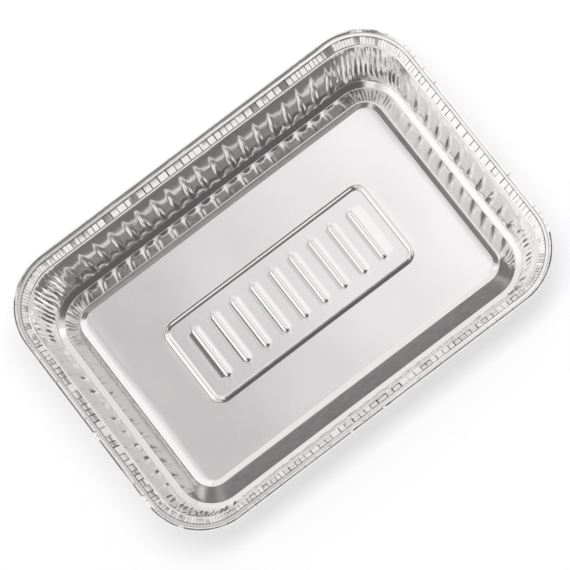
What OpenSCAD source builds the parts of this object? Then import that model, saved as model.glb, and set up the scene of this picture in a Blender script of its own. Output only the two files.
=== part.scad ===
// Foil drip pan: one blank of thin aluminium foil, drawn into a shallow rectangular tray.
// The wall gathers into flutes, the band under the rim is crimped, and the edge is rolled.
// Millimetres. The pan stands on the plane z = 0, centred on the origin, its long side along X.

/* [Rim] */
// Length over the rolled edge
rim_l = 218; // [190:1:250]
// Width over the rolled edge
rim_w = 152.5; // [130:0.5:180]
// Corner radius of the rolled edge
rim_r = 30; // [27:1:34]
// Diameter of the rolled edge
roll_d = 2; // [1.6:0.1:2.6]
// Open seam where the rolled edge comes back under the land
roll_seam = 0.4; // [0.2:0.05:0.5]
// Flat land between the roll and the crimps
land_w = 1.4; // [1.1:0.1:2]
// How far the land lies under the middle of the roll
land_sink = 0.15; // [0.1:0.01:0.2]

/* [Crimped band] */
// Width of the band, seen from above
band_w = 2.9; // [2.2:0.1:4]
// How far the band falls from the land to the lip
band_drop = 2.5; // [1.5:0.1:3.5]
// Height of a crimp, valley to top
crimp_h = 0.6; // [0.2:0.05:0.9]
// Unevenness of the crimps, as a share of their width
crimp_scatter = 0.25; // [0:0.05:0.35]
// Width of the rounded lip between the band and the wall
lip_w = 1.8; // [1.4:0.1:2.4]

/* [Wall] */
// Height of the pan, from the standing ring to the middle of the roll
pan_h = 30.8; // [26:0.2:36]
// Distance from the rim's edge in to the wall's foot, seen from above
wall_inset = 14.7; // [13.5:0.1:17]
// Corner radius at the wall's foot
foot_r = 19.5; // [18:0.5:21]
// Distance between flutes along a side
flute_pitch = 7.9; // [6.5:0.1:10]
// Depth of a flute in the middle of the wall
flute_depth = 0.9; // [0.4:0.1:1.3]
// Gathers round each corner
gathers = 11; // [8:1:12]
// Depth of a corner gather
gather_depth = 0.8; // [0.3:0.1:1]

/* [Base] */
// Height of the smooth heel between the wall and the standing ring
heel_h = 3.2; // [2.4:0.1:4]
// Width of the heel, seen from above
heel_w = 2.2; // [1.8:0.1:2.6]
// Width of the flat ring that the pan stands on
ring_w = 0.8; // [0.5:0.1:1.2]
// Width of the apron that climbs inward from the ring
apron_w = 6.7; // [5:0.1:7.5]
// How far the apron climbs
apron_rise = 2; // [1:0.1:3]
// Width of the step from the apron down to the floor
step_w = 2.8; // [2:0.1:3]
// How far the step falls
step_drop = 0.8; // [0.4:0.1:0.9]

/* [Floor beads] */
// Length of the frame bead over its middle line
frame_l = 111; // [90:1:120]
// Width of the frame bead over its middle line
frame_w = 43; // [36:1:50]
// Corner radius of the frame bead's middle line
frame_r = 5; // [4:0.5:8]
// Width of a bead at the floor
bead_w = 3.2; // [2.6:0.1:4]
// Height of a bead over the floor
bead_h = 0.8; // [0.5:0.1:1]
// Stiffening ribs inside the frame
ribs = 9; // [3:1:10]
// Distance between ribs
rib_pitch = 11; // [8:0.5:11]
// Length of a rib between the middles of its round ends
rib_l = 25; // [15:1:28]

/* [Foil] */
// Thickness of the foil
foil = 0.3; // [0.25:0.05:0.35]

/* [Hidden] */
$fn = 48;

// The middles of the corners: the rim's arcs share one, and the base's arcs share another
rim_cx = rim_l / 2 - rim_r;
rim_cy = rim_w / 2 - rim_r;
base_cx = rim_l / 2 - wall_inset - foot_r;
base_cy = rim_w / 2 - wall_inset - foot_r;

// Heights of the main lines of the section, on the foil's underside
land_z = pan_h - land_sink - foil;
lip_z = land_z - band_drop;
floor_z = apron_rise - step_drop;

// Distances in from the rim's edge
land_end = roll_d + land_w;
band_end = land_end + band_w;
lip_end = band_end + lip_w;

// Flutes and stations along the sides
flutes_x = round(2 * base_cx / flute_pitch);
flutes_y = round(2 * base_cy / flute_pitch);
flute_steps = 4;
corner_steps = 2 * gathers;

// The crimps reach their height this far in from the land
crimp_lead = 0.5;

// Shares of the flutes' depth at the lip and near the wall's top, and where the flutes are full
flutes_at_lip = 0.2;
flutes_high = 0.8;
high_line = 0.25;
low_line = 0.8;

// Between two flutes the wall leans out a little, and beside each flute it leans in a little
panel_out = 0.15;
panel_in = 0.1;

// The share of the crimps' height left at the lip, and the turn that spreads their unevenness
crimps_at_lip = 0.8;
scatter_turn = 137;

// How deep the land's edge is let into the rolled edge
land_let_in = foil / 3;

// How deep the pleated wall's edges are let into the land and the heel, and how thick they are there
tongue = 0.9;
tongue_cover = 0.3;
tongue_t = 0.4 * foil;

// The swept base and the floor's plate share this much of the floor
floor_lap = 1;

// A direction's unit vector, and the same turned a quarter to the left
function unit(v) = v / norm(v);
function left(v) = [-v[1], v[0]];

// The offset at each point of an open line that keeps the distance t from both its neighbours
function mitre(line, i, t) =
    let (
        a = unit(line[max(i, 1)] - line[max(i, 1) - 1]),
        b = unit(line[min(i + 1, len(line) - 1)] - line[min(i + 1, len(line) - 1) - 1]),
        m = unit(left(a) + left(b))
    )
    m * t / (m * left(a));

// The foil's other side: a line drawn inward has its upper side on the right
function upper(line) = [for (i = [0 : len(line) - 1]) line[i] + mitre(line, i, -foil)];

// A strip of foil on an open line, which is its underside
module strip(line) {
    top = upper(line);
    polygon(concat(line, [for (i = [len(line) - 1 : -1 : 0]) top[i]]));
}

// Sweeps a section round a rounded rectangle, x being the distance out from the corners' middles
module swept(cx, cy) {
    for (quarter = [0 : 3]) {
        long_way = quarter % 2 == 0;
        across = long_way ? cx : cy;
        along = long_way ? cy : cx;
        rotate(90 * quarter)
            translate([across, along, 0]) {
                rotate_extrude(angle = 90)
                    children();
                rotate([90, 0, 0])
                    linear_extrude(2 * along)
                        children();
            }
    }
}

// A plate with round corners
module plate(cx, cy, r, thick) {
    linear_extrude(thick)
        square([2 * (cx + r), 2 * cy], center = true);
    linear_extrude(thick)
        square([2 * cx, 2 * (cy + r)], center = true);
    for (sx = [-1, 1], sy = [-1, 1])
        translate([sx * cx, sy * cy, 0])
            cylinder(r = r, h = thick);
}

// The rolled edge: the foil leaves the land, goes up and over, and comes back underneath
module roll_section() {
    middle = rim_r - roll_d / 2;
    hollow_r = roll_d / 2 - foil;
    land_under = land_sink + foil;
    gap_start = sqrt(pow(hollow_r, 2) - pow(land_under, 2));
    translate([middle, pan_h])
        difference() {
            circle(d = roll_d);
            circle(r = hollow_r);
            translate([-roll_d, -roll_d])
                square([roll_d - gap_start + roll_seam, roll_d - land_under]);
        }
    land_start = middle - hollow_r - land_let_in;
    land_stop = rim_r - land_end + tongue_cover;
    translate([land_stop, land_z])
        square([land_start - land_stop, foil]);
}

module rolled_edge() {
    swept(rim_cx, rim_cy)
        roll_section();
}

// The base section, from the heel's top in to the floor
ring_r = foot_r - heel_w - ring_w;
apron_r = ring_r - apron_w;
floor_r = apron_r - step_w;
heel_way = unit([-heel_w, -heel_h]);
base_line = [
    [foot_r, heel_h] + heel_way * tongue_cover,
    [ring_r + ring_w, 0],
    [ring_r, 0],
    [apron_r, apron_rise],
    [floor_r, floor_z],
    [floor_r - floor_lap, floor_z]
];

// The beads' section is a low arc over the floor
bead_top_r = (pow(bead_w / 2, 2) + pow(bead_h, 2)) / (2 * bead_h);
bead_z = floor_z + foil + bead_h - bead_top_r;

// The arc's section above a height, on both sides of the middle line or on one
module bead_section(r, low, half) {
    intersection() {
        translate([0, bead_z])
            circle(r = r);
        translate([half ? 0 : -r, low])
            square([half ? r : 2 * r, 2 * r]);
    }
}

module bead_ring(r, low) {
    swept(frame_l / 2 - frame_r, frame_w / 2 - frame_r)
        translate([frame_r, 0])
            bead_section(r, low, false);
}

// One rib with round ends
module rib(r, low) {
    for (end = [-1, 1])
        translate([0, end * rib_l / 2, 0])
            rotate(90 - 90 * end)
                rotate_extrude(angle = 180)
                    bead_section(r, low, true);
    translate([0, rib_l / 2, 0])
        rotate([90, 0, 0])
            linear_extrude(rib_l)
                bead_section(r, low, false);
}

module beads(r, low) {
    bead_ring(r, low);
    for (i = [0 : ribs - 1])
        translate([(i - (ribs - 1) / 2) * rib_pitch, 0, 0])
            rib(r, low);
}

// Heel, standing ring, apron and step in one sweep
module heel_and_apron() {
    swept(base_cx, base_cy)
        strip(base_line);
}

// The floor, with its beads pressed up from below
module floor_panel() {
    difference() {
        union() {
            translate([0, 0, floor_z])
                plate(base_cx, base_cy, floor_r - floor_lap / 2, foil);
            beads(bead_top_r, floor_z + foil / 2);
        }
        beads(bead_top_r - foil, floor_z - foil);
    }
}

// A line of the wall: how far down it lies, and how much of the flutes' depth it has
function wall_line(share, flutes) = [
    lip_end + (wall_inset - lip_end) * share,
    lip_z - (lip_z - heel_h) * share,
    (rim_r - lip_end) * (1 - share) + foot_r * share,
    flutes,
    0
];

// The pleated part's lines: inset, height, corner radius, share of the flutes, share of the crimps
pleat_lines = [
    [land_end, land_z, rim_r - land_end, 0, 0],
    [land_end + crimp_lead, land_z - band_drop * crimp_lead / band_w, rim_r - land_end - crimp_lead, 0, 1],
    [band_end, lip_z, rim_r - band_end, 0, crimps_at_lip],
    wall_line(0, flutes_at_lip),
    wall_line(high_line, flutes_high),
    wall_line(low_line, 1),
    wall_line(1, 0)
];

// The two tongues lie inside the land and the heel
heel_across = -left(heel_way);
rim_tongue = [-land_end + tongue, land_z + foil / 2];
heel_tongue = [-wall_inset, heel_h] + heel_way * tongue + heel_across * foil / 2;

// Both sides of the foil, as distance in from the rim and height
under_line = [for (l = pleat_lines) [-l[0], l[1]]];
upper_line = upper(under_line);
under_side = concat(
    [rim_tongue - [0, tongue_t / 2]],
    under_line,
    [heel_tongue - heel_across * tongue_t / 2]
);
upper_side = concat(
    [rim_tongue + [0, tongue_t / 2]],
    upper_line,
    [heel_tongue + heel_across * tongue_t / 2]
);

// The corner middles, folds and crimps of each line, with a plain line for each tongue
plain = [0, 0];
folds_of = concat([plain], [for (l = pleat_lines) [l[3], l[4]]], [plain]);
middle_of = concat(
    [rim_r],
    [for (l = pleat_lines) l[0] + l[2]],
    [wall_inset + foot_r]
);

// Stations round the pan: whether it is in a corner, quarter turn, share of the way along, count
stations = [
    for (quarter = [0 : 3])
        let (n = (quarter % 2 == 0 ? flutes_y : flutes_x) * flute_steps)
        each concat(
            [for (k = [0 : n - 1]) [false, quarter, k / n, k]],
            [for (k = [0 : corner_steps - 1]) [true, quarter, k / corner_steps, k]]
        )
];

// How far a fold leans into the pan at a station, and how far a crimp stands up there
function fold(s) = s[0] && s[3] > 0
    ? (s[3] % 2 == 0 ? gather_depth : 0)
    : flute_depth * (s[3] % flute_steps == 0 ? 1 : s[3] % flute_steps == 2 ? -panel_out : panel_in);
function crimp(s) = crimp_h / 2 * (s[3] % 2 == 0 ? 1 : -1);
function slide(s) = s[0] ? 0 : crimp_scatter * flute_pitch / flute_steps * sin(s[3] * scatter_turn);

// A station's place, out from the corners' middles by r, with the middles in from the rim by m
function on_outline(s, m, r, shift, along_by) =
    let (
        even = s[1] % 2 == 0,
        cx = rim_l / 2 - m,
        cy = rim_w / 2 - m,
        across = even ? cx : cy,
        half = even ? base_cy : base_cx,
        lead = (even ? cy : cx) - half,
        arc = r * PI / 2,
        way = s[2] * (2 * lead + arc),
        turn = max(0, min(90, (way - lead) / arc * 90)),
        past = max(0, way - lead - arc),
        out = r + shift,
        x = s[0] ? across + out * cos(turn) - past : across + out,
        y = s[0] ? half + min(way, lead) + out * sin(turn) : half * (2 * s[2] - 1) + along_by,
        a = 90 * s[1]
    )
    [x * cos(a) - y * sin(a), x * sin(a) + y * cos(a)];

// One line round the pan, on one side of the foil
function ring_points(p, m, folds) =
    let (r = m + p[0])
    [for (s = stations)
        let (spot = on_outline(s, m, r, -folds[0] * fold(s), folds[1] * slide(s)))
        [spot[0], spot[1], p[1] + folds[1] * crimp(s)]];

// The fluted wall, its gathered corners, the lip and the crimped band: one closed skin
module pleated_wall() {
    rings = concat(
        [for (i = [0 : len(under_side) - 1]) ring_points(under_side[i], middle_of[i], folds_of[i])],
        [for (i = [len(upper_side) - 1 : -1 : 0]) ring_points(upper_side[i], middle_of[i], folds_of[i])]
    );
    n = len(stations);
    polyhedron(
        points = [for (ring = rings) each ring],
        faces = [
            for (i = [0 : len(rings) - 1], j = [0 : n - 1])
                let (
                    next = (i + 1) % len(rings),
                    a = i * n + j,
                    b = i * n + (j + 1) % n,
                    c = next * n + (j + 1) % n,
                    d = next * n + j
                )
                each [[a, b, c], [a, c, d]]
        ]
    );
}

module pan() {
    color("silver") {
        rolled_edge();
        pleated_wall();
        heel_and_apron();
        floor_panel();
    }
}

pan();
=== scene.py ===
import math
import random

import bpy
from mathutils import Matrix, Vector


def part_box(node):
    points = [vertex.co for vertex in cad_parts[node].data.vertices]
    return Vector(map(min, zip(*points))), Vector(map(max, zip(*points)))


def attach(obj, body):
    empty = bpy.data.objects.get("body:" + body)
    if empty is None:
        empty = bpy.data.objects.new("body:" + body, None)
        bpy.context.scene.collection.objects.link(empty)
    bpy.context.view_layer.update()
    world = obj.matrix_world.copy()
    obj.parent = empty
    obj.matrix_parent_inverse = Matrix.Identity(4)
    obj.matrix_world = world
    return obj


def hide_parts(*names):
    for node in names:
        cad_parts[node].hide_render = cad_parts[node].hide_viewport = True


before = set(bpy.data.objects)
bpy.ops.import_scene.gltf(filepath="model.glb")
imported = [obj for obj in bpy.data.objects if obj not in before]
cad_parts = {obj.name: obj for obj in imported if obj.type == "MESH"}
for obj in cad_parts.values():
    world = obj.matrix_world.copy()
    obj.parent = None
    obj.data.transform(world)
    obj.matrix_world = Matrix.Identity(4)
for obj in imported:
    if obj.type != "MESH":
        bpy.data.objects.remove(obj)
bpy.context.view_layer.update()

MM = 0.001
pan_low, pan_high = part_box("pan")

# Camera
# It looks steeply down at the pan from its near long side, through a long lens, and is turned
# about its own axis so that the pan lies askew in the picture.
roll_middle_height = 30.8
camera_azimuth = math.radians(-12.44)
camera_elevation = math.radians(74.83)
camera_turn = math.radians(-25.10)
camera_distance = 2223.6
camera_slide_right = 1.39
camera_slide_up = -3.34
focal_length = 315.8

camera_back = Vector((
    math.sin(camera_azimuth) * math.cos(camera_elevation),
    -math.cos(camera_azimuth) * math.cos(camera_elevation),
    math.sin(camera_elevation),
))
level_right = Vector((math.cos(camera_azimuth), math.sin(camera_azimuth), 0))
level_up = camera_back.cross(level_right)
camera_right = math.cos(camera_turn) * level_right + math.sin(camera_turn) * level_up
camera_up = math.cos(camera_turn) * level_up - math.sin(camera_turn) * level_right
camera_place = (
    Vector((0, 0, roll_middle_height))
    + camera_back * camera_distance
    + camera_right * camera_slide_right
    + camera_up * camera_slide_up
) * MM

lens = bpy.data.cameras.new("studio_camera")
lens.lens = focal_length
lens.clip_end = 20
camera = bpy.data.objects.new("studio_camera", lens)
turn = Matrix((camera_right, camera_up, camera_back)).transposed().to_4x4()
camera.matrix_world = Matrix.Translation(camera_place) @ turn
bpy.context.scene.collection.objects.link(camera)
bpy.context.scene.camera = camera


# The foil tray
# One blank of thin aluminium foil, drawn in a die: the wall folds into flutes, the corners gather,
# the band under the rim is crimped, and the raw edge is rolled. Sizes are in millimetres.
foil = 0.12
sharpest_bend = math.radians(42)
rim_length = (pan_high.x - pan_low.x) / MM
rim_width = (pan_high.y - pan_low.y) / MM
rim_corner = 30
base_corner_middle = 34.2
roll_radius = 1
roll_start = math.radians(-140)
roll_end = math.radians(195)
roll_rows = 8
land_start = 2.15
land_end = 3.3
land_height = 30.35
band_start = 3.6
band_start_height = 30.1
band_end = 6.15
band_end_height = 27.85
lip_crest = 6.5
lip_crest_height = 28
lip_end = 7.4
lip_height = 27.15
wall_foot = 14.4
wall_foot_height = 1.35
ring_start = 17.1
ring_end = 17.25
ring_height = 0.05
crest_start = 24.2
crest_height = 2.0
step_start = 24.7
step_end = 27.2
floor_height = 1.2

# Each row of the section is its inset from the rim's edge, its height, how far down the wall it
# lies from 0 to 1, how strongly the roll, the crimps and the pleats mark it, and how much painted
# shade darkens it where the foil closes into a fold.
section_rows = []


def add_row(inset, height, down=0.0, roll=0.0, band=0.0, hem=0.0, wall=0.0, fold=0.0):
    section_rows.append(dict(
        inset=inset, height=height, down=down, roll=roll, band=band, hem=hem, wall=wall, fold=fold))


roll_core = roll_radius - foil
for row in range(roll_rows):
    angle = roll_start + (roll_end - roll_start) * row / (roll_rows - 1)
    add_row(
        roll_radius - roll_core * math.cos(angle),
        roll_middle_height + roll_core * math.sin(angle),
        roll=1,
        fold=0.5 if row in (1, 2) else 0,
    )
# Rows with a fold value get painted shade in the foil's colour: dark lines along the roll's underside
# and the seams of the land, band and lip
add_row(land_start, land_height + 0.03, fold=0.7)
rim_rows = len(section_rows)
add_row(land_start + 0.15, land_height + 0.03)
add_row(land_end, land_height)
add_row(land_end + 0.1, band_start_height, fold=0.6)
add_row(band_start, band_start_height, band=1, fold=0.3)
add_row(band_start + 0.15, band_start_height - 0.13, band=1)
add_row(band_end, band_end_height, band=1, hem=1)
add_row(band_end + 0.08, band_end_height - 0.05, fold=1)
add_row(lip_crest - 0.15, lip_crest_height - 0.1, fold=0.6)
add_row(lip_crest, lip_crest_height)
add_row(lip_crest + 0.15, lip_crest_height)
add_row(lip_end - 0.1, lip_height + 0.27)
add_row(lip_end, lip_height)
crimped_rows = len(section_rows)
wall_rows = (
    (0.03, 1), (0.1, 1), (0.18, 1), (0.26, 1), (0.34, 1), (0.42, 1), (0.51, 1), (0.6, 1),
    (0.68, 1), (0.75, 1), (0.8, 1), (0.84, 1), (0.88, 1), (0.92, 0.9), (0.96, 0.5), (1, 0),
)
for down, mark in wall_rows:
    add_row(
        lip_end + (wall_foot - lip_end) * down,
        lip_height + (wall_foot_height - lip_height) * down,
        down=down,
        wall=mark,
    )
pleated_rows = len(section_rows)
add_row(ring_start - 0.15, ring_height + 0.07, down=1)
add_row(ring_start, ring_height, down=1)
add_row(ring_end, ring_height, down=1)
for share in (0.04, 0.5, 0.96, 1):
    add_row(
        ring_end + (crest_start - ring_end) * share,
        ring_height + (crest_height - ring_height) * share,
        down=1,
    )
add_row((crest_start + step_start) / 2, crest_height + 0.05, down=1)
add_row(step_start, crest_height - 0.06, down=1)
add_row(step_start + 0.2, crest_height - 0.12, down=1)
add_row(step_end - 0.3, floor_height + 0.08, down=1)
add_row(step_end, floor_height, down=1)

# Crimps, flutes and gathers are spaced round the rim. A station is one place round it.
crimp_pitch_middle = 4.3
crimp_pitch_end = 2.3
crimp_scatter = 0.3
corner_crimps = 28
long_flutes = 19
short_flutes = 11
corner_gathers = 14
gather_pitch = 2.3
gather_reach = 8
crimp_fractions = (0, 0.09, 0.5, 0.91)
flute_fractions = (0, 0.08, 0.18, 0.28, 0.36, 0.43, 0.5, 0.57, 0.64, 0.73, 0.82, 0.91)
gather_fractions = (0, 0.13, 0.25, 0.38, 0.5, 0.62, 0.75, 0.87)
chance = random.Random(7)


def crimp_edges(length):
    """Places of the crimps' edges along a straight side, from -1 to 1."""
    places = [0]
    while places[-1] < length:
        from_middle = abs(2 * places[-1] / length - 1)
        pitch = crimp_pitch_middle + (crimp_pitch_end - crimp_pitch_middle) * from_middle
        places.append(places[-1] + pitch * chance.uniform(1 - crimp_scatter, 1 + crimp_scatter))
    return [2 * place / places[-1] - 1 for place in places]


def side_of(quarter):
    """Length of a straight side between the corners' middles, and its number of flutes."""
    if quarter % 2 == 0:
        return rim_length - 2 * rim_corner, long_flutes
    return rim_width - 2 * rim_corner, short_flutes


def side_station(quarter, along, **counts):
    """A station on a straight side, from -1 at its start to 1 at its end."""
    heading = math.pi / 2 * (quarter - 1)
    outward = Vector((math.cos(heading), math.sin(heading)))
    onward = Vector((-outward.y, outward.x))
    length, flutes = side_of(quarter)
    to_corner = (1 - abs(along)) * length / 2
    gathers_past = corner_gathers * (quarter - 1) + to_corner / gather_pitch
    if along > 0:
        gathers_past = corner_gathers * quarter - to_corner / gather_pitch
    return dict(
        middle=outward + along * onward,
        outward=outward,
        flute=flutes_before[quarter] + (along + 1) / 2 * flutes,
        gather=gathers_past + corner_gathers,
        corner=max(0, 1 - to_corner / gather_reach) ** 2,
        **counts,
    )


def corner_station(quarter, share, **counts):
    """A station round the corner after a side, from 0 at its start to 1 at its end."""
    heading = math.pi / 2 * (quarter - 1)
    outward = Vector((math.cos(heading), math.sin(heading)))
    onward = Vector((-outward.y, outward.x))
    turned = share * math.pi / 2
    return dict(
        middle=outward + onward,
        outward=outward * math.cos(turned) + onward * math.sin(turned),
        flute=flutes_before[quarter],
        gather=corner_gathers * (quarter + 1 + share),
        corner=1,
        **counts,
    )


flutes_before = [0, long_flutes, long_flutes + short_flutes, 2 * long_flutes + short_flutes]
base_turns = 14
rim_stations = []
wall_stations = []
base_stations = []
crimps_made = 0
for quarter in range(4):
    edges = crimp_edges(side_of(quarter)[0])
    for first, last in zip(edges, edges[1:]):
        for fraction in crimp_fractions:
            along = first + (last - first) * fraction
            rim_stations.append(side_station(quarter, along, crimp=crimps_made + fraction))
        crimps_made += 1
    for crimp in range(corner_crimps):
        for fraction in crimp_fractions:
            share = (crimp + fraction) / corner_crimps
            rim_stations.append(corner_station(quarter, share, crimp=crimps_made + fraction))
        crimps_made += 1
    flutes = side_of(quarter)[1]
    for flute in range(flutes):
        for fraction in flute_fractions:
            along = (flute + fraction) / flutes * 2 - 1
            wall_stations.append(side_station(quarter, along, crimp=0))
        base_stations.append(side_station(quarter, flute / flutes * 2 - 1, crimp=0))
    for gather in range(corner_gathers):
        for fraction in gather_fractions:
            share = (gather + fraction) / corner_gathers
            wall_stations.append(corner_station(quarter, share, crimp=0))
    for turn_step in range(base_turns):
        base_stations.append(corner_station(quarter, turn_step / base_turns, crimp=0))

roll_stations = [station for place, station in enumerate(rim_stations) if place % 4 != 2]

tray_points = []
tray_faces = []
station_marks = ("crimp", "flute", "gather", "corner")
row_marks = ("down", "roll", "band", "hem", "wall", "fold")
tray_marks = {name: [] for name in station_marks + row_marks + ("floor",)}


def add_point(place, **marks):
    tray_points.append(place)
    for name, values in tray_marks.items():
        values.append(marks.get(name, 0.0))
    return len(tray_points) - 1


def corner_lean(row):
    """How far the corners' middles have moved from the rim's to the base's, in millimetres."""
    return (base_corner_middle - rim_corner) * row["down"]


def add_loop(row, stations):
    """One row of points round the tray, one at each station."""
    middle_inset = rim_corner + corner_lean(row)
    middle_x = rim_length / 2 - middle_inset
    middle_y = rim_width / 2 - middle_inset
    radius = middle_inset - row["inset"]
    loop = []
    for station in stations:
        place = Vector((
            station["middle"].x * middle_x + station["outward"].x * radius,
            station["middle"].y * middle_y + station["outward"].y * radius,
            row["height"],
        ))
        marks = {name: station[name] for name in station_marks}
        marks.update({name: row[name] for name in row_marks})
        loop.append(add_point(place, **marks))
    return loop


def join_loops(outer, inner):
    """Faces between two closed rows of points, in pairs or by the shorter diagonal."""
    if len(outer) == len(inner):
        for place in range(len(outer)):
            after = (place + 1) % len(outer)
            tray_faces.append((outer[place], outer[after], inner[after], inner[place]))
        return
    a = b = 0
    while a < len(outer) or b < len(inner):
        outer_now, outer_next = outer[a % len(outer)], outer[(a + 1) % len(outer)]
        inner_now, inner_next = inner[b % len(inner)], inner[(b + 1) % len(inner)]
        outer_step = (tray_points[outer_next] - tray_points[inner_now]).length
        inner_step = (tray_points[inner_next] - tray_points[outer_now]).length
        if b == len(inner) or (a < len(outer) and outer_step <= inner_step):
            tray_faces.append((outer_now, outer_next, inner_now))
            a += 1
        else:
            tray_faces.append((outer_now, inner_next, inner_now))
            b += 1


previous = None
for number, row in enumerate(section_rows):
    if number < rim_rows - 1:
        loop = add_loop(row, roll_stations)
    elif number < crimped_rows:
        loop = add_loop(row, rim_stations)
    elif number < pleated_rows:
        loop = add_loop(row, wall_stations)
    else:
        loop = add_loop(row, base_stations)
    if previous:
        join_loops(previous, loop)
    previous = loop

# The floor is a grid with lines close together where the beads rise. A plain border joins it to
# the step.
frame_half_length = 55.5
frame_half_width = 21.5
frame_corner = 5
bead_width = 3.2
bead_height = 0.8
rib_count = 9
rib_pitch = 11
rib_length = 25
floor_border_width = 3
plain_line_pitch = 4
frame_line_pitch = 0.6
least_line_gap = 0.2
bead_lines = [share * bead_width / 2 for share in (-1, -0.66, -0.33, 0, 0.33, 0.66, 1)]


def spread(first, last, pitch):
    """Evenly spaced lines from the first place to the last."""
    steps = max(1, round((last - first) / pitch))
    return [first + (last - first) * step / steps for step in range(steps + 1)]


def mirrored(lines, gap):
    """The lines and their mirror images in order, without any that lie nearly on another."""
    kept = []
    for line in sorted([-line for line in lines] + list(lines)):
        if not kept or line - kept[-1] > gap:
            kept.append(line)
    return kept


bead_reach = bead_width / 2
floor_edge_x = rim_length / 2 - step_end - floor_border_width
floor_edge_y = rim_width / 2 - step_end - floor_border_width
rib_lines = [rib * rib_pitch + line for rib in range(rib_count // 2 + 1) for line in bead_lines]
between_ribs = [(rib + 0.5) * rib_pitch + line for rib in range(rib_count // 2) for line in (-2, 0, 2)]
floor_lines_x = mirrored(
    rib_lines + between_ribs
    + spread(frame_half_length - frame_corner, frame_half_length + bead_reach, frame_line_pitch)
    + spread(frame_half_length + bead_reach + 3, floor_edge_x, plain_line_pitch),
    least_line_gap,
)
floor_lines_y = mirrored(
    spread(0, rib_length / 2 - bead_reach, plain_line_pitch)
    + [rib_length / 2 + line for line in bead_lines]
    + spread(frame_half_width - frame_corner, frame_half_width + bead_reach, frame_line_pitch)
    + spread(frame_half_width + bead_reach + 3, floor_edge_y, plain_line_pitch),
    least_line_gap,
)
floor_grid = [
    [add_point(Vector((x, y, floor_height)), down=1, floor=1) for x in floor_lines_x]
    for y in floor_lines_y
]
for near, far in zip(floor_grid, floor_grid[1:]):
    for column in range(len(near) - 1):
        tray_faces.append((near[column], near[column + 1], far[column + 1], far[column]))
floor_border = (
    floor_grid[0][:-1]
    + [line[-1] for line in floor_grid[:-1]]
    + floor_grid[-1][:0:-1]
    + [line[0] for line in floor_grid[:0:-1]]
)
join_loops(previous, floor_border)

tray_mesh = bpy.data.meshes.new("drawn_tray")
tray_mesh.from_pydata([point * MM for point in tray_points], [], tray_faces)
for name, values in tray_marks.items():
    tray_mesh.attributes.new(name, "FLOAT", "POINT").data.foreach_set("value", values)
drawn_tray = bpy.data.objects.new("drawn_tray", tray_mesh)
bpy.context.scene.collection.objects.link(drawn_tray)

# Bright rolled foil: fine grain along the sheet, faint stains of haze, small wrinkles, and painted
# shade in its folds
foil_material = bpy.data.materials.new("bright_foil")
foil_material.use_nodes = True
foil_nodes = foil_material.node_tree.nodes
foil_links = foil_material.node_tree.links
foil_shader = foil_nodes["Principled BSDF"]
foil_shader.inputs["Metallic"].default_value = 1
foil_place = foil_nodes.new("ShaderNodeTexCoord").outputs["Object"]


def foil_noise(scale, detail, stretch=(1, 1, 1)):
    """A noise over the tray, in features per metre, drawn out along an axis by the stretch."""
    mapping = foil_nodes.new("ShaderNodeMapping")
    mapping.inputs["Scale"].default_value = stretch
    foil_links.new(foil_place, mapping.inputs["Vector"])
    noise = foil_nodes.new("ShaderNodeTexNoise")
    noise.inputs["Scale"].default_value = scale
    noise.inputs["Detail"].default_value = detail
    foil_links.new(mapping.outputs["Vector"], noise.inputs["Vector"])
    return noise.outputs[0]


def foil_range(value, low, high):
    """The noise spread over a range."""
    spread_out = foil_nodes.new("ShaderNodeMapRange")
    spread_out.inputs["From Min"].default_value = 0.3
    spread_out.inputs["From Max"].default_value = 0.7
    spread_out.inputs["To Min"].default_value = low
    spread_out.inputs["To Max"].default_value = high
    foil_links.new(value, spread_out.inputs["Value"])
    return spread_out.outputs[0]


foil_tint = foil_nodes.new("ShaderNodeMix")
foil_tint.data_type = "RGBA"
foil_tint.inputs["A"].default_value = (0.86, 0.85, 0.85, 1)
foil_tint.inputs["B"].default_value = (0.92, 0.91, 0.91, 1)
foil_links.new(foil_noise(35, 2), foil_tint.inputs["Factor"])
# Painted shade: the fold attribute mixes the foil's colour toward dark grey in the creases, notches
# and seams
fold_mark = foil_nodes.new("ShaderNodeAttribute")
fold_mark.attribute_name = "fold"
fold_tint = foil_nodes.new("ShaderNodeMix")
fold_tint.data_type = "RGBA"
fold_tint.inputs["B"].default_value = (0.2, 0.195, 0.19, 1)
foil_links.new(fold_mark.outputs["Fac"], fold_tint.inputs["Factor"])
foil_links.new(foil_tint.outputs["Result"], fold_tint.inputs["A"])
foil_links.new(fold_tint.outputs["Result"], foil_shader.inputs["Base Color"])
foil_links.new(foil_range(foil_noise(50, 3), 0.07, 0.12), foil_shader.inputs["Roughness"])
wrinkle_bump = foil_nodes.new("ShaderNodeBump")
wrinkle_bump.inputs["Distance"].default_value = 0.00004
wrinkle_bump.inputs["Strength"].default_value = 0.5
foil_links.new(foil_noise(300, 4), wrinkle_bump.inputs["Height"])
grain_bump = foil_nodes.new("ShaderNodeBump")
grain_bump.inputs["Distance"].default_value = 0.00001
grain_bump.inputs["Strength"].default_value = 0.4
foil_links.new(foil_noise(4000, 2, (0.03, 1, 1)), grain_bump.inputs["Height"])
foil_links.new(wrinkle_bump.outputs["Normal"], grain_bump.inputs["Normal"])
foil_links.new(grain_bump.outputs["Normal"], foil_shader.inputs["Normal"])

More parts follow.
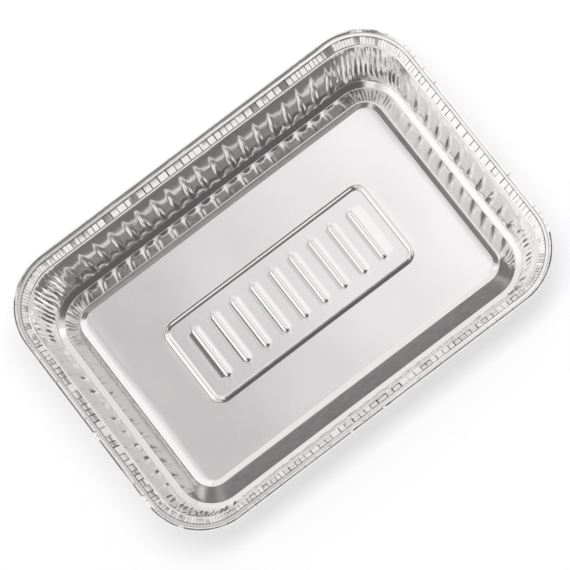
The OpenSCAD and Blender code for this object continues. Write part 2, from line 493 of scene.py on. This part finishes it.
# The die presses every crimp, flute, gather and bead out of the smooth tray, along its normal
die = bpy.data.node_groups.new("foil_die", "GeometryNodeTree")
die.is_modifier = True
die.interface.new_socket("Tray", in_out="INPUT", socket_type="NodeSocketGeometry")
die.interface.new_socket("Tray", in_out="OUTPUT", socket_type="NodeSocketGeometry")
die_sizes = {
    "Flute Pitch": 7.85 * MM,
    "Flute Width at Top": 1 * MM,
    "Flute Width at Foot": 2.3 * MM,
    "Flute Steepness": 0.62,
    "Flute Lee": 1.15,
    "Flute Wander": 0.3 * MM,
    "Panel Bow": 0.02 * MM,
    "Wall Height": 26 * MM,
    "Tent Half Width": 2.7 * MM,
    "Tent Height": 4.6 * MM,
    "Tent Fold Width": 0.6 * MM,
    "Tent Depth": 0.5 * MM,
    "Gather Depth": 0.85 * MM,
    "Crimp Depth": 0.75 * MM,
    "Crimp Tilt": 0.45 * MM,
    "Crimp Pitch": 0.35 * MM,
    "Crease Width": 0.08,
    "Roll Dent": 0.34 * MM,
    "Roll Notch": 0.35 * MM,
    "Crumple Depth": 0.2 * MM,
    "Floor Swell": 0.2 * MM,
    "Bead Width": bead_width * MM,
    "Frame Slimness": 1.35,
    "Bead Height": bead_height * MM,
    "Frame Half Length": frame_half_length * MM,
    "Frame Half Width": frame_half_width * MM,
    "Frame Corner": frame_corner * MM,
    "Rib Pitch": rib_pitch * MM,
    "Rib Row Half Length": (rib_count - 1) / 2 * rib_pitch * MM,
    "Rib Half Length": rib_length / 2 * MM,
}
die_input_keys = {}
for name, size in die_sizes.items():
    socket = die.interface.new_socket(name, in_out="INPUT", socket_type="NodeSocketFloat")
    socket.default_value = size
    die_input_keys[name] = socket.identifier
seed_socket = die.interface.new_socket("Seed", in_out="INPUT", socket_type="NodeSocketInt")
finish_socket = die.interface.new_socket("Finish", in_out="INPUT", socket_type="NodeSocketMaterial")
die_in = die.nodes.new("NodeGroupInput").outputs
die_out = die.nodes.new("NodeGroupOutput").inputs


def feed(socket, value):
    """Links an output to a socket, or sets the socket to a number."""
    if isinstance(value, bpy.types.NodeSocket):
        die.links.new(value, socket)
    else:
        socket.default_value = value


def calc(operation, *values):
    """The outcome of one sum on outputs and numbers."""
    node = die.nodes.new("ShaderNodeMath")
    node.operation = operation
    for socket, value in zip(node.inputs, values):
        feed(socket, value)
    return node.outputs[0]


def mark(name):
    """What the tray's attribute of this name says at each point."""
    node = die.nodes.new("GeometryNodeInputNamedAttribute")
    node.data_type = "FLOAT"
    node.inputs["Name"].default_value = name
    return node.outputs["Attribute"]


def blend_range(value, from_low, from_high, to_low, to_high, kind="LINEAR"):
    """The value carried from one range over to another."""
    node = die.nodes.new("ShaderNodeMapRange")
    node.interpolation_type = kind
    for socket, number in zip(node.inputs, (value, from_low, from_high, to_low, to_high)):
        feed(socket, number)
    return node.outputs[0]


def luck(number, salt, low=0.0, high=1.0):
    """The same random number for every point of one flute, gather or crimp."""
    node = die.nodes.new("FunctionNodeRandomValue")
    node.data_type = "FLOAT"
    feed(node.inputs[2], low)
    feed(node.inputs[3], high)
    feed(node.inputs["ID"], number)
    feed(node.inputs["Seed"], calc("ADD", die_in["Seed"], salt))
    return node.outputs[1]


def crumple(scale, detail):
    """A noise over the tray from -1 to 1, in features per metre."""
    node = die.nodes.new("ShaderNodeTexNoise")
    node.inputs["Scale"].default_value = scale
    node.inputs["Detail"].default_value = detail
    return blend_range(node.outputs[0], 0.25, 0.75, -1, 1)


corner = mark("corner")
down = mark("down")
wall = mark("wall")
straight = calc("SUBTRACT", 1, corner)

# A flute is a shallow groove pressed outward, that begins below the lip, widens down the wall,
# and flattens out again over the foot
flute = mark("flute")
flute_number = calc("FLOOR", flute)
flute_drift = calc("MULTIPLY", luck(flute_number, 1, -1, 1), die_in["Flute Wander"])
flute_bend = calc("MULTIPLY", crumple(70, 1), die_in["Flute Wander"])
flute_place = calc("MULTIPLY", calc("SUBTRACT", calc("FRACT", flute), 0.5), die_in["Flute Pitch"])
flute_place = calc("ADD", flute_place, calc("ADD", flute_drift, flute_bend))
flute_lee = calc("DIVIDE", calc("MULTIPLY", flute_place, -1), die_in["Flute Lee"])
from_middle = calc("MAXIMUM", flute_place, flute_lee)
flute_width = blend_range(down, 0, 1, die_in["Flute Width at Top"], die_in["Flute Width at Foot"])
rise = die.nodes.new("ShaderNodeFloatCurve")
rise_curve = rise.mapping.curves[0]
rise_points = ((0.1, 0.16), (0.3, 0.46), (0.5, 0.76), (0.68, 1), (0.8, 0.65), (0.9, 0.25))
rise_curve.points[0].location = (0, 0)
rise_curve.points[1].location = (1, 0)
for down_here, rise_here in rise_points:
    rise_curve.points.new(down_here, rise_here)
rise.mapping.update()
feed(rise.inputs["Value"], down)
groove = blend_range(from_middle, 0, flute_width, 1, 0, "SMOOTHSTEP")
groove_depth = calc("MULTIPLY", rise.outputs[0], flute_width)
groove_depth = calc("MULTIPLY", groove_depth, die_in["Flute Steepness"])
flute_own = luck(flute_number, 2, -1.1, -0.7)
flute_press = calc("MULTIPLY", calc("MULTIPLY", groove, groove_depth), flute_own)
panel = calc("COSINE", calc("MULTIPLY", flute, 2 * math.pi))
panel_press = calc("MULTIPLY", calc("MULTIPLY", panel, die_in["Panel Bow"]), -1)

# Between two flutes the wall ends in a small tent: a thin arched fold over the foot
panel_place = calc("SUBTRACT", calc("FRACT", calc("ADD", flute, 0.5)), 0.5)
panel_number = calc("FLOOR", calc("ADD", flute, 0.5))
tent_drift = calc("MULTIPLY", luck(panel_number, 3, -0.5, 0.5), MM)
tent_x = calc("ADD", calc("MULTIPLY", panel_place, die_in["Flute Pitch"]), tent_drift)
above_foot = calc("MULTIPLY", calc("SUBTRACT", 1, down), die_in["Wall Height"])
tent_height = calc("MULTIPLY", die_in["Tent Height"], luck(panel_number, 4, 0.75, 1.15))
arch_x = calc("DIVIDE", tent_x, die_in["Tent Half Width"])
arch_z = calc("DIVIDE", above_foot, tent_height)
arch = calc("SQRT", calc("ADD", calc("MULTIPLY", arch_x, arch_x), calc("MULTIPLY", arch_z, arch_z)))
from_arch = calc("MULTIPLY", calc("ABSOLUTE", calc("SUBTRACT", arch, 1)), die_in["Tent Half Width"])
tent_fold = blend_range(from_arch, 0, die_in["Tent Fold Width"], 1, 0, "SMOOTHSTEP")
tent_own = calc("MULTIPLY", die_in["Tent Depth"], luck(panel_number, 5, 0.6, 1.1))
tent_press = calc("MULTIPLY", tent_fold, tent_own)
side_press = calc("ADD", flute_press, calc("ADD", panel_press, tent_press))
side_press = calc("MULTIPLY", side_press, straight)

# A corner's gathers are sharp folds, each with its own depth, and each ends at its own height
wander = calc("MULTIPLY", crumple(90, 1), 0.3)
gather = calc("ADD", mark("gather"), wander)
gather_number = calc("FLOOR", calc("ADD", gather, 0.5))
gather_side = calc("ABSOLUTE", calc("SUBTRACT", calc("FRACT", calc("ADD", gather, 0.5)), 0.5))
gather_width = luck(gather_number, 6, 0.36, 0.5)
gather_fold = blend_range(gather_side, 0, gather_width, 1, 0, "SMOOTHSTEP")
gather_start = luck(gather_number, 7, 0.02, 0.2)
gather_end = luck(gather_number, 8, 0.75, 0.98)
gather_rise = blend_range(down, gather_start, calc("ADD", gather_start, 0.3), 0.15, 1, "SMOOTHSTEP")
gather_fall = blend_range(down, calc("SUBTRACT", gather_end, 0.2), gather_end, 1, 0, "SMOOTHSTEP")
gather_own = luck(gather_number, 9, 0.25, 1.1)
gather_press = calc("MULTIPLY", calc("MULTIPLY", gather_rise, gather_fall), gather_own)
gather_press = calc("MULTIPLY", calc("MULTIPLY", gather_fold, gather_press), die_in["Gather Depth"])
gather_press = calc("MULTIPLY", gather_press, corner)

# A crimp is a flat tooth between two sharp creases, with its own tilt and height
crimp = mark("crimp")
crimp_number = calc("FLOOR", crimp)
crimp_place = calc("FRACT", crimp)
to_crease = calc("SUBTRACT", 0.5, calc("ABSOLUTE", calc("SUBTRACT", crimp_place, 0.5)))
crease = blend_range(to_crease, 0, die_in["Crease Width"], 1, 0)
crease_number = calc("FLOOR", calc("ADD", crimp, 0.5))
crease_own = luck(crease_number, 10, 0.4, 1)
crimp_top = calc("SUBTRACT", 0.7, calc("MULTIPLY", crease, crease_own))
crimp_lean = calc("MULTIPLY", calc("SUBTRACT", crimp_place, 0.5), luck(crimp_number, 12, -1, 1))
crimp_press = calc("ADD", calc("MULTIPLY", crimp_top, die_in["Crimp Depth"]),
                   calc("MULTIPLY", crimp_lean, die_in["Crimp Tilt"]))
crimp_pitch_own = calc("MULTIPLY", luck(crimp_number, 14, -0.5, 0.5), die_in["Crimp Pitch"])
hem_side = calc("SUBTRACT", calc("MULTIPLY", mark("hem"), 2), 1)
crimp_press = calc("ADD", crimp_press, calc("MULTIPLY", crimp_pitch_own, hem_side))
crimp_press = calc("MULTIPLY", crimp_press, mark("band"))

# Where the rim was folded over, every few crimps a notch crosses the roll
notch = calc("MULTIPLY", crease, calc("GREATER_THAN", luck(crease_number, 13), 0.7))
notch = calc("MULTIPLY", notch, mark("roll"))
notch_press = calc("MULTIPLY", notch, die_in["Roll Notch"])

# Painted shade darkens the foil's colour where it closes on itself: in the creases, the notches and
# the rim's seams
crease_fold = calc("MULTIPLY", calc("MULTIPLY", crease, crease_own), mark("band"))
row_fold = calc("MULTIPLY", mark("fold"), blend_range(crumple(150, 1), -1, 1, 0.2, 1.2))
fold = calc("MAXIMUM", row_fold, calc("MAXIMUM", crease_fold, calc("MULTIPLY", notch, 0.35)))

# Handling has dented the roll and crumpled the wall, and most so at the corners
dent = calc("MULTIPLY", blend_range(crumple(110, 2), -1, 1, -1, 0), die_in["Roll Dent"])
dent = calc("MULTIPLY", calc("MULTIPLY", dent, mark("roll")), blend_range(corner, 0, 1, 0.35, 1))
creases = calc("SUBTRACT", 0.35, calc("ABSOLUTE", crumple(140, 2)))
crumple_press = calc("MULTIPLY", calc("ADD", creases, crumple(90, 1)), die_in["Crumple Depth"])
crumple_share = calc("MULTIPLY", wall, blend_range(corner, 0, 1, 0.45, 1))
crumple_press = calc("MULTIPLY", crumple_press, crumple_share)

# The floor's beads: one frame with round corners, and a row of straight ribs inside it
position = die.nodes.new("ShaderNodeSeparateXYZ")
die.links.new(die.nodes.new("GeometryNodeInputPosition").outputs[0], position.inputs[0])
across = calc("ABSOLUTE", position.outputs["X"])
away = calc("ABSOLUTE", position.outputs["Y"])


def round_box(half_x, half_y, radius):
    """Distance from the outline of a box with round corners, less inside it."""
    x = calc("SUBTRACT", across, calc("SUBTRACT", half_x, radius))
    y = calc("SUBTRACT", away, calc("SUBTRACT", half_y, radius))
    outside_x, outside_y = calc("MAXIMUM", x, 0), calc("MAXIMUM", y, 0)
    reach = calc("SQRT", calc("ADD", calc("MULTIPLY", outside_x, outside_x),
                              calc("MULTIPLY", outside_y, outside_y)))
    return calc("SUBTRACT", calc("ADD", reach, calc("MINIMUM", calc("MAXIMUM", x, y), 0)), radius)


frame_distance = calc("ABSOLUTE", round_box(
    die_in["Frame Half Length"], die_in["Frame Half Width"], die_in["Frame Corner"]))
rib_cell = calc("PINGPONG", across, calc("DIVIDE", die_in["Rib Pitch"], 2))
past_row = calc("MAXIMUM", calc("SUBTRACT", across, die_in["Rib Row Half Length"]), 0)
rib_aside = calc("MAXIMUM", rib_cell, past_row)
rib_past_end = calc("MAXIMUM", calc("SUBTRACT", away, die_in["Rib Half Length"]), 0)
rib_distance = calc("SQRT", calc("ADD", calc("MULTIPLY", rib_aside, rib_aside),
                                 calc("MULTIPLY", rib_past_end, rib_past_end)))
slim_frame = calc("MULTIPLY", frame_distance, die_in["Frame Slimness"])
bead_distance = calc("MINIMUM", slim_frame, rib_distance)
bead = blend_range(bead_distance, 0, calc("DIVIDE", die_in["Bead Width"], 2), 1, 0, "SMOOTHSTEP")
floor_press = calc("ADD", calc("MULTIPLY", bead, die_in["Bead Height"]),
                   calc("MULTIPLY", crumple(22, 0), die_in["Floor Swell"]))
floor_press = calc("MULTIPLY", floor_press, mark("floor"))

press = calc("MULTIPLY", calc("ADD", side_press, gather_press), wall)
press = calc("SUBTRACT", press, notch_press)
for other in (crimp_press, dent, crumple_press, floor_press):
    press = calc("ADD", press, other)
along_normal = die.nodes.new("ShaderNodeVectorMath")
along_normal.operation = "SCALE"
die.links.new(die.nodes.new("GeometryNodeInputNormal").outputs[0], along_normal.inputs[0])
die.links.new(press, along_normal.inputs["Scale"])
# Stores the painted shade as the fold attribute, which the foil's colour reads
folding = die.nodes.new("GeometryNodeStoreNamedAttribute")
folding.data_type = "FLOAT"
folding.inputs["Name"].default_value = "fold"
die.links.new(die_in["Tray"], folding.inputs["Geometry"])
die.links.new(fold, folding.inputs["Value"])
pressing = die.nodes.new("GeometryNodeSetPosition")
die.links.new(folding.outputs[0], pressing.inputs["Geometry"])
die.links.new(along_normal.outputs[0], pressing.inputs["Offset"])
realize = die.nodes.new("GeometryNodeRealizeInstances")
die.links.new(pressing.outputs[0], realize.inputs[0])
set_foil = die.nodes.new("GeometryNodeSetMaterial")
die.links.new(realize.outputs[0], set_foil.inputs["Geometry"])
die.links.new(die_in["Finish"], set_foil.inputs["Material"])
die.links.new(set_foil.outputs[0], die_out[0])

die_seed = 11
press_modifier = drawn_tray.modifiers.new("press", "NODES")
press_modifier.node_group = die
for name, size in die_sizes.items():
    press_modifier[die_input_keys[name]] = size
press_modifier[seed_socket.identifier] = die_seed
press_modifier[finish_socket.identifier] = foil_material
thickness = drawn_tray.modifiers.new("thickness", "SOLIDIFY")
thickness.thickness = foil * MM
thickness.offset = 1

evaluated = drawn_tray.evaluated_get(bpy.context.evaluated_depsgraph_get())
pan_mesh = bpy.data.meshes.new_from_object(evaluated)
pan_mesh.name = "foil_tray"
for name in tray_marks:
    if name != "fold":
        pan_mesh.attributes.remove(pan_mesh.attributes[name])
pan_mesh.shade_smooth()
pan_mesh.set_sharp_from_angle(angle=sharpest_bend)
foil_tray = bpy.data.objects.new("foil_tray", pan_mesh)
bpy.context.scene.collection.objects.link(foil_tray)
bpy.data.objects.remove(drawn_tray)

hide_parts("pan")
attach(foil_tray, "root")


# The table
# A plain white studio surface, matt and flat. It shows white to the camera and in the foil, and
# keeps the pan's shadow.
table_half = 1.6
table_mesh = bpy.data.meshes.new("table")
table_mesh.from_pydata(
    [(x * table_half, y * table_half, 0) for x, y in ((-1, -1), (1, -1), (1, 1), (-1, 1))],
    [],
    [(0, 1, 2, 3)],
)
table = bpy.data.objects.new("table", table_mesh)
bpy.context.scene.collection.objects.link(table)
table_material = bpy.data.materials.new("white_table")
table_material.use_nodes = True
table_nodes = table_material.node_tree.nodes
table_links = table_material.node_tree.links
table_shader = table_nodes["Principled BSDF"]
table_shader.inputs["Base Color"].default_value = (0.42, 0.427, 0.434, 1)
table_shader.inputs["Roughness"].default_value = 1
table_shader.inputs["Specular IOR Level"].default_value = 0
table_glow = table_nodes.new("ShaderNodeEmission")
table_glow.inputs["Color"].default_value = (0.52, 0.518, 0.516, 1)
light_path = table_nodes.new("ShaderNodeLightPath")
seen = light_path.outputs["Is Camera Ray"]
for ray in ("Is Glossy Ray", "Is Transmission Ray"):
    either = table_nodes.new("ShaderNodeMath")
    either.operation = "MAXIMUM"
    table_links.new(seen, either.inputs[0])
    table_links.new(light_path.outputs[ray], either.inputs[1])
    seen = either.outputs[0]
table_links.new(seen, table_glow.inputs["Strength"])
table_sum = table_nodes.new("ShaderNodeAddShader")
table_links.new(table_shader.outputs[0], table_sum.inputs[0])
table_links.new(table_glow.outputs[0], table_sum.inputs[1])
table_links.new(table_sum.outputs[0], table_nodes["Material Output"].inputs["Surface"])
table_mesh.materials.append(table_material)


# The studio
# One large softbox hangs over the far side, dimmer toward the left. The room is white low down
# and on the left, and dim overhead.
softbox = bpy.data.lights.new("softbox", "AREA")
softbox.shape = "RECTANGLE"
softbox.size = 0.74
softbox.size_y = 0.5
softbox.energy = math.pi * softbox.size * softbox.size_y
softbox.use_nodes = True
softbox_nodes = softbox.node_tree.nodes
softbox_links = softbox.node_tree.links
softbox_place = softbox_nodes.new("ShaderNodeSeparateXYZ")
softbox_surface = softbox_nodes.new("ShaderNodeNewGeometry")
softbox_links.new(softbox_surface.outputs["Parametric"], softbox_place.inputs[0])
softbox_fade = softbox_nodes.new("ShaderNodeFloatCurve")
softbox_curve = softbox_fade.mapping.curves[0]
softbox_curve.points[0].location = (0, 0.52)
softbox_curve.points[1].location = (1, 0.83)
for share, strength in ((0.12, 0.5), (0.165, 0.39), (0.2, 0.5), (0.42, 0.82)):
    softbox_curve.points.new(share, strength).handle_type = "VECTOR"
softbox_fade.mapping.update()
softbox_links.new(softbox_place.outputs["X"], softbox_fade.inputs["Value"])
softbox_links.new(softbox_fade.outputs[0], softbox_nodes["Emission"].inputs["Strength"])
softbox_lamp = bpy.data.objects.new("softbox", softbox)
softbox_lamp.location = (0.2, 0.22, 0.6)
softbox_lamp.visible_camera = False
bpy.context.scene.collection.objects.link(softbox_lamp)

# A second soft lamp lights the table alone, and gives the shadow beside the pan's near edge
table_lamp_light = bpy.data.lights.new("table_lamp", "AREA")
table_lamp_light.shape = "RECTANGLE"
table_lamp_light.size = 0.8
table_lamp_light.size_y = 0.36
table_lamp_light.energy = 8.3
table_lamp = bpy.data.objects.new("table_lamp", table_lamp_light)
table_lamp.location = (0.05, -0.003, 1.2)
table_lamp.visible_camera = False
table_lamp.visible_glossy = False
bpy.context.scene.collection.objects.link(table_lamp)

studio = bpy.data.worlds.new("studio")
bpy.context.scene.world = studio
studio.use_nodes = True
studio_nodes = studio.node_tree.nodes
studio_links = studio.node_tree.links
direction = studio_nodes.new("ShaderNodeSeparateXYZ")
studio_links.new(studio_nodes.new("ShaderNodeTexCoord").outputs["Generated"], direction.inputs[0])


def studio_fade(value, start, end):
    """Rises smoothly from 0 to 1 as a direction's part goes from start to end."""
    fade = studio_nodes.new("ShaderNodeMapRange")
    fade.interpolation_type = "SMOOTHSTEP"
    fade.inputs["From Min"].default_value = start
    fade.inputs["From Max"].default_value = end
    studio_links.new(value, fade.inputs["Value"])
    return fade.outputs[0]


def studio_math(operation, first, second):
    """The outcome of one sum on two outputs."""
    node = studio_nodes.new("ShaderNodeMath")
    node.operation = operation
    studio_links.new(first, node.inputs[0])
    studio_links.new(second, node.inputs[1])
    return node.outputs[0]


def studio_mix(factor, first, second):
    """A colour between two colours, each given as an output or as a tone."""
    mix = studio_nodes.new("ShaderNodeMix")
    mix.data_type = "RGBA"
    studio_links.new(factor, mix.inputs["Factor"])
    for name, value in (("A", first), ("B", second)):
        if isinstance(value, bpy.types.NodeSocket):
            studio_links.new(value, mix.inputs[name])
        else:
            mix.inputs[name].default_value = (value, value * 0.975, value * 0.97, 1)
    return mix.outputs["Result"]


# Overhead the room is dim, with a paler strip above the pan's near part. Further down it is dim
# still, and white near the floor.
ceiling = studio_mix(studio_fade(direction.outputs["Y"], -0.2, -0.5), 0.2, 0.12)
strip = studio_math(
    "MULTIPLY",
    studio_fade(direction.outputs["Y"], -0.24, -0.26),
    studio_fade(direction.outputs["Y"], -0.305, -0.29),
)
ceiling = studio_mix(strip, ceiling, 0.4)
room = studio_mix(studio_fade(direction.outputs["Z"], 0.8, 0.66), ceiling, 0.23)
room = studio_mix(studio_fade(direction.outputs["Z"], 0.585, 0.47), room, 0.95)

# White screens: a narrow one high on the left of the near side, one on the far side, and one on
# the right, with a dark gap low down beside it
left_screen = studio_math(
    "MULTIPLY",
    studio_math(
        "MULTIPLY",
        studio_fade(direction.outputs["X"], -0.35, -0.46),
        studio_fade(direction.outputs["X"], -0.58, -0.52),
    ),
    studio_fade(direction.outputs["Y"], 0.1, -0.1),
)
room = studio_mix(left_screen, room, 0.95)
room = studio_mix(studio_fade(direction.outputs["Y"], 0.55, 0.68), room, 0.92)
room = studio_mix(studio_fade(direction.outputs["X"], 0.58, 0.68), room, 0.85)
right_gap = studio_math(
    "MULTIPLY",
    studio_fade(direction.outputs["X"], 0.8, 0.9),
    studio_fade(direction.outputs["Z"], 0.24, 0.02),
)
room = studio_mix(right_gap, room, 0.25)

# The whole left of the far side is one white wall
left_wall = studio_math(
    "MULTIPLY",
    studio_fade(direction.outputs["X"], -0.475, -0.505),
    studio_fade(direction.outputs["Y"], -0.5, 0.1),
)
room = studio_mix(left_wall, room, 1.12)
studio_links.new(room, studio_nodes["Background"].inputs["Color"])

bpy.context.scene.view_settings.view_transform = "Standard"
